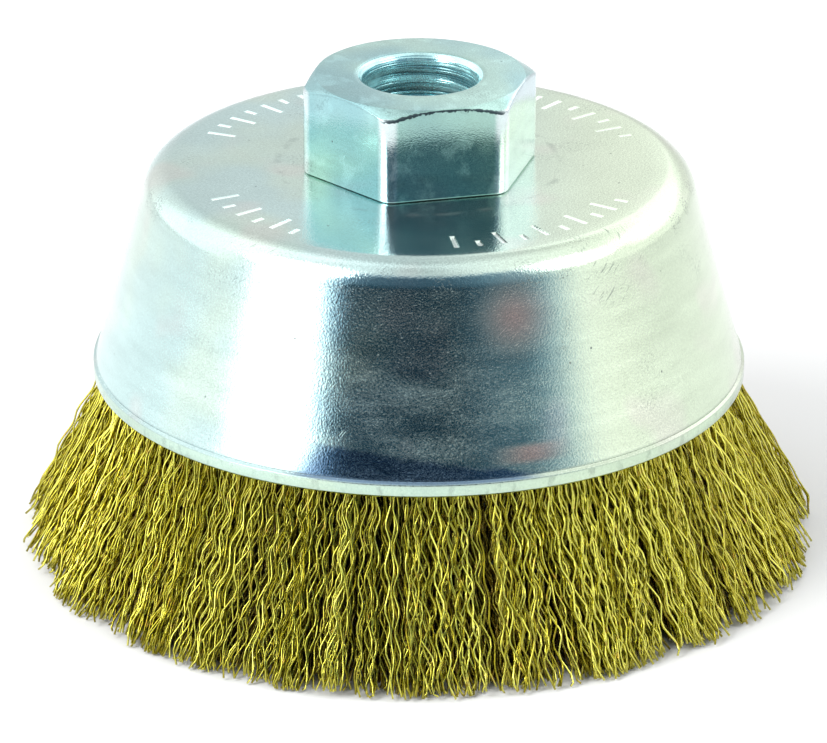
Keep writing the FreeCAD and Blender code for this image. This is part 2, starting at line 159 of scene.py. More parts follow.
class Nodes:
    """Adds and links the nodes of one tree."""

    def __init__(self, tree: bpy.types.NodeTree) -> None:
        """Empty the tree, ready for new nodes."""
        self.tree = tree
        tree.nodes.clear()

    def add(self, kind: str, settings: dict | None = None,
            values: dict | None = None) -> bpy.types.Node:
        """Add one node.

        Args:
            kind: The node's type.
            settings: Its properties, which are set first.
            values: Its sockets, by name or place, with a value, a socket or a Signal for each.

        Returns:
            The node.
        """
        made = self.tree.nodes.new(kind)
        for name, value in (settings or {}).items():
            setattr(made, name, value)
        for name, value in (values or {}).items():
            source = value.socket if isinstance(value, Signal) else value
            if isinstance(source, bpy.types.NodeSocket):
                self.tree.links.new(source, made.inputs[name])
            else:
                made.inputs[name].default_value = source
        return made

    def vector(self, operation: str, *operands: object) -> bpy.types.Node:
        """Add a Vector Math node for an operation on its operands."""
        return self.add("ShaderNodeVectorMath", {"operation": operation}, dict(enumerate(operands)))

    def measure(self, operation: str, *operands: object) -> Signal:
        """Get a number from an operation on vectors."""
        return Signal(self, self.vector(operation, *operands).outputs["Value"])

    @cached_property
    def place(self) -> bpy.types.NodeSocket:
        """Position on the object."""
        return self.add("ShaderNodeTexCoord").outputs["Object"]

    @cached_property
    def height(self) -> Signal:
        """Height of the surface above the origin."""
        return self.along(UP)

    @cached_property
    def from_axis(self) -> Signal:
        """Distance of the surface from the spindle axis."""
        return self.measure("LENGTH", self.vector("MULTIPLY", self.place, LEVEL).outputs[0])

    def along(self, direction: Place) -> Signal:
        """Give the distance of the surface from the origin, in a direction."""
        return self.measure("DOT_PRODUCT", self.place, direction)

    def near(self, spot: Place, reach: float) -> Signal:
        """Fade from 1 at a spot on the object to 0 at a distance from it."""
        return self.measure("DISTANCE", self.place, spot).ramp(reach, 0.0)

    def attribute(self, name: str) -> Signal:
        """Read a number that the mesh carries."""
        return Signal(self, self.add("ShaderNodeAttribute", {"attribute_name": name}).outputs["Fac"])

    def texture(self, kind: str, output: str, values: dict, pattern: Pattern) -> Signal:
        """Lay a texture over the object.

        Args:
            kind: The texture node's type.
            output: The socket that is read.
            values: The values of its own sockets.
            pattern: The pattern's size, place and levels.

        Returns:
            The texture's value, or 0 to 1 where the pattern has levels.
        """
        domain = self.add("ShaderNodeMapping", {"vector_type": "TEXTURE"}, {
            "Vector": self.place, "Location": (-pattern.shift * pattern.size,) * 3,
            "Rotation": (0.0, pattern.turn, pattern.turn),
            "Scale": tuple(pattern.size / share for share in pattern.stretch)})
        made = self.add(kind, {}, {"Vector": domain.outputs[0], "Scale": 1.0, **values})
        found = Signal(self, made.outputs[output])
        return found.ramp(*pattern.levels) if pattern.levels else found

    def noise(self, pattern: Pattern) -> Signal:
        """Add a cloudy pattern, which is about 0.25 to 0.75 where it has no levels."""
        return self.texture("ShaderNodeTexNoise", "Fac", {"Detail": pattern.detail}, pattern)

    def pits(self, pattern: Pattern) -> Signal:
        """Scatter points and give the distance to the nearest one, as a share of their size."""
        return self.texture("ShaderNodeTexVoronoi", "Distance", {}, pattern)

    def blend(self, share: Number, first: Colour | bpy.types.NodeSocket,
              second: Colour | bpy.types.NodeSocket) -> bpy.types.NodeSocket:
        """Mix two colours.

        Args:
            share: Share of the second colour.
            first: A colour or a colour socket.
            second: A colour or a colour socket.

        Returns:
            The mixed colour.
        """
        factor, colour_a, colour_b, result = 0, 6, 7, 2
        made = self.add("ShaderNodeMix", {"data_type": "RGBA"}, {
            factor: share, colour_a: opaque(first), colour_b: opaque(second)})
        return made.outputs[result]

    def dim(self, colour: bpy.types.NodeSocket, share: Number) -> bpy.types.NodeSocket:
        """Scale a colour's brightness."""
        made = self.add("ShaderNodeVectorMath", {"operation": "SCALE"}, {
            0: colour, "Scale": share})
        return made.outputs[0]

    def relief(self, height: Signal, depth: float,
               under: bpy.types.NodeSocket | None = None) -> bpy.types.NodeSocket:
        """Raise and sink the surface's shading.

        Args:
            height: Height of the relief, as a share of depth.
            depth: Depth of the relief.
            under: Normals that the relief is added to.

        Returns:
            The normals.
        """
        values = {"Height": height, "Distance": depth, "Strength": 1.0}
        if under is not None:
            values["Normal"] = under
        return self.add("ShaderNodeBump", {}, values).outputs[0]


def opaque(colour: Colour | bpy.types.NodeSocket) -> tuple | bpy.types.NodeSocket:
    """Give a colour its alpha; a socket stays as it is."""
    return colour if isinstance(colour, bpy.types.NodeSocket) else (*colour, 1.0)


@dataclass(frozen=True)
class Finish:
    """A material made of nodes."""

    name: str

    @cached_property
    def blank(self) -> bpy.types.Material:
        """The node material, still without a surface."""
        material = bpy.data.materials.new(self.name)
        material.use_nodes = True
        return material

    @cached_property
    def nodes(self) -> Nodes:
        """The material's own nodes."""
        return Nodes(self.blank.node_tree)

    def surface(self) -> dict:
        """Give the surface shader's sockets their values."""
        return {}

    def material(self) -> bpy.types.Material:
        """Build the material.

        Returns:
            The material, with its surface.
        """
        shader = self.nodes.add("ShaderNodeBsdfPrincipled", {}, self.surface())
        self.nodes.add("ShaderNodeOutputMaterial", {}, {"Surface": shader.outputs[0]})
        return self.blank


@dataclass(frozen=True)
class BrightZinc(Finish):
    """Bright zinc plating: clouds of blue and green tint over a fine mottled grain."""

    cool: Colour = (0.55, 0.73, 0.72)
    green: Colour = (0.68, 0.77, 0.57)
    rosy: Colour = (0.72, 0.66, 0.64)
    soil: Colour = (0.07, 0.09, 0.10)
    reflection_tint_side: Place | None = None
    reflection_tint_reach: Span = (-6 * MM, 24 * MM)
    haze: float = 0.12
    veil: float = 0.08
    grain: Pattern = Pattern(0.22 * MM, 3.0)
    grain_depth: float = 0.0187 * MM
    scratch_depth: float = 0.004 * MM
    scratch_turns: tuple[float, ...] = (0.5, 1.4, 2.5)
    ripple_depth: float = 0.02 * MM
    ripples: Pattern = Pattern(8 * MM, 1.0, shift=41.0)
    bands: Pattern = Pattern(1.3 * MM, shift=15.0, stretch=(0.12, 0.12, 1.0))
    green_clouds: Pattern = Pattern(16 * MM, 2.0, (0.42, 0.62), 11.0)
    rosy_clouds: Pattern = Pattern(9 * MM, 1.0, (0.55, 0.72), 31.0)
    pits: Pattern = Pattern(2.6 * MM, levels=(0.07, 0.035))
    pit_patches: Pattern = Pattern(5 * MM, 2.0, (0.50, 0.60), 3.0)
    rubs: Pattern = Pattern(0.3 * MM, 4.0, (0.52, 0.62))
    rub_patches: Pattern = Pattern(7 * MM, 2.0, (0.60, 0.70), 8.0)
    hairlines: Pattern = Pattern(0.6 * MM, 0.0, stretch=(1.0, 0.04, 0.04))
    hairline_patches: Pattern = Pattern(3.5 * MM, 1.0, (0.68, 0.78))
    smears: Pattern = Pattern(2.6 * MM, 4.0, shift=26.0, stretch=(0.25, 0.25, 1.0))
    specks: Pattern = Pattern(0.16 * MM, 3.0, shift=25.0, stretch=(0.7, 0.7, 1.0))
    speck_levels: Span = (0.74, 1.16)

    def soiling(self) -> Signal:
        """Mark sparse pits and rubbed patches.

        Returns:
            The share of the surface that the dark marks hide.
        """
        nodes = self.nodes
        pitted = nodes.pits(self.pits) * nodes.noise(self.pit_patches)
        rubbed_and_sheen = nodes.noise(self.rubs) * nodes.noise(self.rub_patches)
        return (pitted * 0.7).over(rubbed_and_sheen * 0.25)

    def scratch(self, turn: float) -> Signal:
        """Score broken hairlines in one direction.

        Args:
            turn: The angle of the lines.

        Returns:
            The share of each point that is scratched.
        """
        line = self.nodes.noise(replace(self.hairlines, shift=turn * 7, turn=turn))
        patch = self.nodes.noise(replace(self.hairline_patches, shift=turn + 20))
        return line.around(0.5, 0.02, 0.004) * patch

    def tint(self) -> bpy.types.NodeSocket:
        """Tint the plating in clouds and, where a side is given, paint a greenish reflection on that
        side.

        Returns:
            The plating's colour before it is marked.
        """
        nodes = self.nodes
        cloud = nodes.noise(self.green_clouds)
        # Painted reflection: the plating towards the given side is tinted green.
        if self.reflection_tint_side is not None:
            side = nodes.along(self.reflection_tint_side).ramp(*self.reflection_tint_reach)
            cloud = (side * 0.85).over(cloud * 0.35)
        colour = nodes.blend(cloud, self.cool, self.green)
        return nodes.blend(nodes.noise(self.rosy_clouds) * 0.35, colour, self.rosy)

    def grease(self) -> Number:
        """Share of the surface's shine that is lost under a greasy film."""
        return 0.0

    def turning(self) -> Number:
        """Height of turned lines, as a share of the grain's depth."""
        return 0.0

    def dulling(self) -> Signal:
        """Share of the surface that is veiled by fine pale specks, denser in smears."""
        density = self.nodes.noise(self.specks) + self.nodes.noise(self.smears) * 0.8
        return density.ramp(*self.speck_levels)

    def surface(self) -> dict:
        """Lay the grain, marks, veil and scratches over the tint.

        Returns:
            The surface shader's values, by socket.
        """
        nodes = self.nodes
        grain = nodes.noise(self.grain)
        dull = self.dulling()
        soil = self.soiling()
        first, second, third = (self.scratch(turn) for turn in self.scratch_turns)
        scratch = first.over(second).over(third)
        shade = 0.60 + grain * 0.38 + nodes.noise(self.bands) * 0.20 + dull * 0.10 + scratch * 0.08
        ripple = nodes.relief(nodes.noise(self.ripples), self.ripple_depth)
        scored = nodes.relief(1.0 - scratch, self.scratch_depth, ripple)
        return {
            "Base Color": nodes.blend(soil, nodes.dim(self.tint(), shade), self.soil),
            "Metallic": 1.0 - soil * 0.2 - dull * self.veil - self.grease(),
            "Roughness": self.haze + (grain - 0.5) * 0.15 + dull * 0.07 + soil * 0.35,
            "Normal": nodes.relief(grain - soil * 0.1 + self.turning(), self.grain_depth, scored),
        }


@dataclass(frozen=True)
class CupZinc(BrightZinc):
    """The outer cup's plating, with the marks of drawing, packing and handling, painted shade along
    the crease and a painted dark reflection at the foot of the wall.
    """

    veil: float = 0.125
    veil_heights: Span = (39 * MM, 30 * MM)
    plate_heights: Span = (45.2 * MM, 45.5 * MM)
    scuff_ring: float = 16.2 * MM
    scuff_width: float = 0.8 * MM
    ring_scuffs: Pattern = Pattern(2.2 * MM, 3.0, (0.46, 0.66), 14.0)
    shoulder_height: float = 43.6 * MM
    shoulder_reach: Span = (1.8 * MM, 0.6 * MM)
    shoulder_scuffs: Pattern = Pattern(0.3 * MM, 4.0, (0.52, 0.60), 17.0, (1.0, 1.0, 2.0))
    shoulder_patches: Pattern = Pattern(4 * MM, 1.0, (0.50, 0.62), 6.0)
    nicked: tuple[tuple[Place, float], ...] = (
        ((15.4 * MM, -28.0 * MM, 43.2 * MM), 0.9), ((-24.2 * MM, -20.9 * MM, 43.6 * MM), 2.2))
    nicks: Pattern = Pattern(0.28 * MM, 2.0, (0.62, 0.70), stretch=(1.0, 0.14, 0.14))
    nick_reach: float = 7 * MM
    band_height: float = 22.2 * MM
    band_green: Colour = (0.54, 0.70, 0.52)
    band_dirt: Pattern = Pattern(1.6 * MM, 4.0, (0.54, 0.70), 4.0, (1.0, 1.0, 0.5))
    crease_height: float = 22.35 * MM
    crease_shade_reach: Span = (0.4 * MM, 0.2 * MM)
    # The fields from here to the navy colour lay out a dark reflection painted at the foot of the
    # wall, on the camera's side.
    foot_top: float = 24.7 * MM
    foot_fall: float = 0.13
    foot_fade: Span = (-0.4 * MM, 0.5 * MM)
    foot_side: Place = (-0.263, -0.965, 0.0)
    foot_reach: Span = (34.2 * MM, 35.6 * MM)
    foot_along: Place = (0.969, -0.246, 0.0)
    foot_edge: Pattern = Pattern(3 * MM, 3.0, shift=51.0)
    foot_unevenness: float = 1.4 * MM
    reflection_navy: Colour = (0.15, 0.25, 0.38)
    thumb_marks: tuple[Place, ...] = (
        (2.6 * MM, -32.6 * MM, 39.5 * MM), (3.5 * MM, -36.8 * MM, 24.8 * MM))
    thumb_size: float = 5.8 * MM
    thumb_flatness: Span = (1.4 * MM, 0.5 * MM)
    thumb_red: Colour = (0.64, 0.38, 0.33)
    stamped: Colour = (0.92, 0.97, 0.93)

    def on_band(self) -> Signal:
        """Tell the rim band from the wall."""
        return self.nodes.height.ramp(self.band_height, self.band_height - 0.2 * MM)

    def thumbed(self) -> Signal:
        """Find the two thumb marks, a round one and a low flat one."""
        tall, flat = (self.nodes.near(spot, self.thumb_size) for spot in self.thumb_marks)
        return tall.over(flat * self.nodes.height.around(self.thumb_marks[1][2], *self.thumb_flatness))

    def painted_reflection_streak(self) -> Signal:
        """Paint a dark reflection as a streak along the foot of the wall, on the side that faces the
        camera, which thins out at one end.

        Returns:
            The share of the surface that the streak covers.
        """
        nodes = self.nodes
        uneven = (nodes.noise(self.foot_edge) - 0.5) * self.foot_unevenness
        top = nodes.along(self.foot_along) * -self.foot_fall + self.foot_top + uneven
        above_band = nodes.height.ramp(self.band_height - 0.1 * MM, self.band_height + 0.1 * MM)
        streak = (top - nodes.height).ramp(*self.foot_fade) * above_band
        return streak * nodes.along(self.foot_side).ramp(*self.foot_reach)

    def grease(self) -> Number:
        """Dull the plating under the thumb marks and in the stamped bars."""
        return self.thumbed() * 0.25 + self.nodes.attribute("stamped") * 0.4

    def dulling(self) -> Signal:
        """Thin the pale specks out towards the shoulder."""
        return super().dulling() * (self.nodes.height.ramp(*self.veil_heights) * 0.75 + 0.25)

    def tint(self) -> bpy.types.NodeSocket:
        """Tint the rim band, paint a dark reflection at the foot of the wall, and tint the thumb marks
        and the bars.

        Returns:
            The plating's colour before it is marked.
        """
        colour = super().tint()
        for share, mark in ((self.on_band() * 0.55, self.band_green),
                            # Painted reflection: the navy streak at the foot of the wall.
                            (self.painted_reflection_streak() * 0.9, self.reflection_navy),
                            (self.thumbed() * 0.75, self.thumb_red),
                            (self.nodes.attribute("stamped") * 0.85, self.stamped)):
            colour = self.nodes.blend(share, colour, mark)
        return colour

    def soiling(self) -> Signal:
        """Add a rubbed ring on the plate, shoulder nicks and scuffs, dirt on the rim band and painted
        shade along the crease above it.

        Returns:
            The share of the surface that the dark marks hide.
        """
        nodes = self.nodes
        ring = nodes.from_axis.around(self.scuff_ring, self.scuff_width)
        ring = ring * nodes.noise(self.ring_scuffs) * nodes.height.ramp(*self.plate_heights)
        scuff = nodes.height.around(self.shoulder_height, *self.shoulder_reach)
        scuff = scuff * nodes.noise(self.shoulder_scuffs) * nodes.noise(self.shoulder_patches)
        marks = super().soiling().over(ring * 0.3).over(scuff * 0.45)
        for spot, turn in self.nicked:
            nick = nodes.noise(replace(self.nicks, shift=turn, turn=turn))
            marks = marks.over(nick * nodes.near(spot, self.nick_reach).ramp(0.05, 0.4) * 0.45)
        dirt = nodes.noise(self.band_dirt) * self.on_band()
        # Painted shade: the plating is darkened along the crease between the wall and the rim band.
        crease = nodes.height.around(self.crease_height, *self.crease_shade_reach)
        return marks.over(dirt * 0.25).over(crease * 0.2)


@dataclass(frozen=True)
class NutZinc(BrightZinc):
    """The nut's plating: turned lines in its bore, a dark burr along its bevel, a painted highlight on
    one flat and painted shade on the front flat.
    """

    cool: Colour = (0.33, 0.57, 0.60)
    green: Colour = (0.47, 0.71, 0.65)
    rosy: Colour = (0.40, 0.59, 0.60)
    soil: Colour = (0.03, 0.05, 0.06)
    grain: Pattern = Pattern(0.18 * MM, 3.0)
    grain_depth: float = 0.013 * MM
    veil: float = 0.11
    bore: float = 7.2 * MM
    bore_dark: Colour = (0.16, 0.40, 0.46)
    bore_bright: Colour = (0.56, 0.88, 0.88)
    bore_lines: Pattern = Pattern(0.35 * MM, 2.0, (0.36, 0.64), 3.0, (0.02, 0.02, 1.0))
    bore_line_height: float = 4.0
    flat_reach: Span = (11.6 * MM, 11.95 * MM)
    # The next three fields paint a highlight on one flat and shade on the front flat.
    lit_flat_side: Place = (0.866, -0.5, 0.0)
    rubbed_and_sheen: Colour = (0.74, 0.80, 0.86)
    shaded_flat_side: Place = (-0.02, -1.0, 0.0)
    burr_reach: Span = (11.2 * MM, 11.9 * MM)
    burr_levels: Span = (0.46, 0.68)
    ragged: Pattern = Pattern(0.45 * MM, 4.0, shift=9.0)
    painted_shade_flat: Colour = (0.26, 0.44, 0.37)
    worn: Colour = (0.86, 0.93, 0.95)
    corner: float = 13.45 * MM
    smudges: Pattern = Pattern(2.6 * MM, 3.0, (0.50, 0.66), 61.0)

    def bored(self) -> Signal:
        """Tell the bore from the rest of the nut."""
        return self.nodes.from_axis.ramp(self.bore, self.bore - 0.1 * MM)

    def on_flat(self, side: Place) -> Signal:
        """Tell the flat on one side from the rest of the nut."""
        return self.nodes.along(side).ramp(*self.flat_reach)

    def turning(self) -> Number:
        """Height of the turned lines in the bore."""
        return self.nodes.noise(self.bore_lines) * self.bored() * self.bore_line_height

    def grease(self) -> Number:
        """Dull the bore."""
        return self.bored() * 0.25

    def dulling(self) -> Signal:
        """Thin out the pale specks and add coarser smudges."""
        return (super().dulling() * 0.4).over(self.nodes.noise(self.smudges))

    def tint(self) -> bpy.types.NodeSocket:
        """Paint a highlight on one flat and shade on the front flat, brighten the worn corners and add
        the bore's lines of turning.

        Returns:
            The plating's colour before it is marked.
        """
        nodes = self.nodes
        turned = nodes.blend(nodes.noise(self.bore_lines), self.bore_dark, self.bore_bright)
        corner = nodes.from_axis.ramp(self.corner - 0.3 * MM, self.corner)
        colour = super().tint()
        # Painted light: one flat is paled as a painted highlight and the front flat is darkened as
        # painted shade.
        for share, mark in ((self.on_flat(self.lit_flat_side) * 0.6, self.rubbed_and_sheen),
                            (self.on_flat(self.shaded_flat_side) * 0.5, self.painted_shade_flat),
                            (corner * 0.7, self.worn), (self.bored(), turned)):
            colour = nodes.blend(share, colour, mark)
        return colour

    def soiling(self) -> Signal:
        """Add broken dark lines where the mesh says that an edge is burred, faint all round and
        painted darkest as a shadow line on the front flat.

        Returns:
            The share of the surface that the dark marks hide.
        """
        nodes = self.nodes
        burr = nodes.attribute("burr") + nodes.noise(self.ragged) * 1.6 - 0.8
        # Painted shade: the burr line is made darkest on the flat that faces the camera.
        front_shade = nodes.along(self.shaded_flat_side).ramp(*self.burr_reach) * 0.82 + 0.15
        return super().soiling().over(burr.ramp(*self.burr_levels) * front_shade)


@dataclass(frozen=True)
class BrassCoat(Finish):
    """Brass-coated steel wire, each wire with its own tone, with painted shade that browns the wires
    deeper inside the skirt.
    """

    bright: Colour = (0.95, 0.90, 0.11)
    olive: Colour = (0.36, 0.31, 0.008)
    edge: Colour = (0.80, 0.75, 0.12)
    copper: Colour = (0.54, 0.29, 0.04)
    # Colour and levels of the painted shade between the wires.
    painted_shade_brown: Colour = (0.15, 0.064, 0.004)
    painted_shade_levels: Span = (0.03, 0.36)
    stains: Pattern = Pattern(1.1 * MM, 3.0)
    stain_levels: Span = (0.58, 0.74)
    roughening: Pattern = Pattern(0.12 * MM)
    roughening_depth: float = 0.0015 * MM

    def surface(self) -> dict:
        """Coat each wire in its own tone and paint shade on the deeper ones as a dark brown.

        Returns:
            The surface shader's values, by socket.
        """
        nodes = self.nodes
        tone = nodes.attribute("tone")
        shaded_inside = nodes.attribute("shaded_inside")
        stain = nodes.noise(self.stains)
        colour = nodes.blend(tone, self.olive, self.bright)
        colour = nodes.blend(stain.ramp(*self.stain_levels) * 0.6, colour, self.copper)
        return {
            # Painted shade: wires that lie deeper inside the skirt are mixed towards dark brown.
            "Base Color": nodes.blend(shaded_inside.ramp(*self.painted_shade_levels) * 0.94, colour, self.painted_shade_brown),
            "Metallic": 1.0,
            "Roughness": 0.16 + stain * 0.14 + shaded_inside * 0.1,
            "Specular Tint": opaque(self.edge),
            "Coat Weight": (tone * 0.7 + 0.3) * (1.0 - shaded_inside),
            "Coat Roughness": 0.10,
            "Coat IOR": 1.7,
            "Normal": nodes.relief(nodes.noise(self.roughening), self.roughening_depth),
        }


@dataclass(frozen=True)
class CutEnd(Finish):
    """Bare steel at the cut end of a wire."""

    bare: Colour = (0.62, 0.60, 0.52)
    smeared: Colour = (0.38, 0.33, 0.18)
    wear: Pattern = Pattern(0.15 * MM)
    wear_depth: float = 0.01 * MM

    def surface(self) -> dict:
        """Smear the cut with brass.

        Returns:
            The surface shader's values, by socket.
        """
        worn = self.nodes.noise(self.wear)
        return {
            "Base Color": self.nodes.blend(worn, self.bare, self.smeared),
            "Metallic": 1.0,
            "Roughness": 0.32 + worn * 0.2,
            "Normal": self.nodes.relief(worn, self.wear_depth),
        }


@dataclass(frozen=True)
class PaleFloor(Finish):
    """Plain pale studio floor."""

    light: Colour = (0.70, 0.70, 0.70)
    dark: Colour = (0.68, 0.68, 0.68)
    clouds: Pattern = Pattern(400 * MM, 1.0)

    def surface(self) -> dict:
        """Cloud the floor faintly."""
        return {"Base Color": self.nodes.blend(self.nodes.noise(self.clouds), self.light, self.dark),
                "Roughness": 0.75}


def put(name: str, data: bpy.types.ID) -> bpy.types.Object:
    """Put a mesh, curve, light or camera into the scene.

    Args:
        name: The object's name.
        data: What it shows.

    Returns:
        The object, at the origin.
    """
    made = bpy.data.objects.new(name, data)
    bpy.context.scene.collection.objects.link(made)
    return made


def drop_curve(drawn: bpy.types.Object) -> None:
    """Remove a curve that a mesh was made from.

    Args:
        drawn: The curve's object.
    """
    curve = drawn.data
    bpy.data.objects.remove(drawn)
    bpy.data.curves.remove(curve)


def draw_line(curve: bpy.types.Curve, points: Sequence[Place]) -> bpy.types.Spline:
    """Add a line of straight runs to a curve.

    Args:
        curve: The curve.
        points: The ends of the runs.

    Returns:
        The line.
    """
    spline = curve.splines.new("POLY")
    spline.points.add(len(points) - 1)
    spline.points.foreach_set("co", [value for point in points for value in (*point, 1.0)])
    return spline


def shown_piece(name: str, mesh: bpy.types.Mesh, materials: Sequence[bpy.types.Material],
                nodes: Sequence[str]) -> bpy.types.Object:
    """Put a finished mesh into the scene as a piece of the brush.

    Args:
        name: The piece's name.
        mesh: Its mesh, in place.
        materials: Its materials, in the order that its faces count them.
        nodes: The CAD nodes that it stands for.

    Returns:
        The piece.
    """
    mesh.name = name
    for material in materials:
        mesh.materials.append(material)
    piece = put(name, mesh)
    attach(piece, ROOT)
    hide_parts(*nodes)
    log.info("%s stands for %d solids with %d faces", name, len(nodes), len(mesh.polygons))
    return piece


def free_to_mesh(bm: bmesh.types.BMesh, name: str) -> bpy.types.Mesh:
    """Turn a bmesh into a mesh.

    Args:
        bm: The shape; it is freed.
        name: The mesh's name.

    Returns:
        The mesh.
    """
    mesh = bpy.data.meshes.new(name)
    bm.to_mesh(mesh)
    bm.free()
    return mesh


def close_mesh(bm: bmesh.types.BMesh, name: str, crease: float) -> bpy.types.Mesh:
    """Turn a bmesh into a smooth-shaded mesh that keeps its sharper edges.

    Args:
        bm: The shape; it is freed.
        name: The mesh's name.
        crease: Angle between faces, in radians, from which an edge stays sharp.

    Returns:
        The mesh.
    """
    bmesh.ops.recalc_face_normals(bm, faces=bm.faces)
    for face in bm.faces:
        face.smooth = True
    for edge in bm.edges:
        edge.smooth = edge.calc_face_angle(0.0) < crease
    return free_to_mesh(bm, name)


def round_edges(bm: bmesh.types.BMesh, edges: Iterable[bmesh.types.BMEdge], width: float,
                segments: int, clamp: bool = False) -> None:
    """Round edges off.

    Args:
        bm: The shape.
        edges: The edges.
        width: Distance from each edge at which its rounding starts.
        segments: Number of faces across the rounding.
        clamp: Whether neighbouring roundings are kept from overlapping.
    """
    bmesh.ops.bevel(bm, geom=list(edges), affect="EDGES", segments=segments, offset=width,
                    offset_type="OFFSET", profile=0.5, material=-1, clamp_overlap=clamp)


def step_ring(bm: bmesh.types.BMesh, rim: Sequence[bmesh.types.BMEdge],
              place: Callable[[Vector], Spot]) -> list[bmesh.types.BMEdge]:
    """Extrude a closed rim of edges to a new radius and height.

    Args:
        bm: The shape.
        rim: The edges of the rim.
        place: Gives the new radius and height of a point of the rim.

    Returns:
        The edges of the new rim.
    """
    made = bmesh.ops.extrude_edge_only(bm, edges=list(rim))["geom"]
    fresh = {item for item in made if isinstance(item, bmesh.types.BMVert)}
    for vertex in fresh:
        radius, height = place(vertex.co)
        around = vertex.co.to_2d().normalized() * radius
        vertex.co = Vector((around.x, around.y, height))
    return [item for item in made if isinstance(item, bmesh.types.BMEdge)
            and fresh.issuperset(item.verts)]


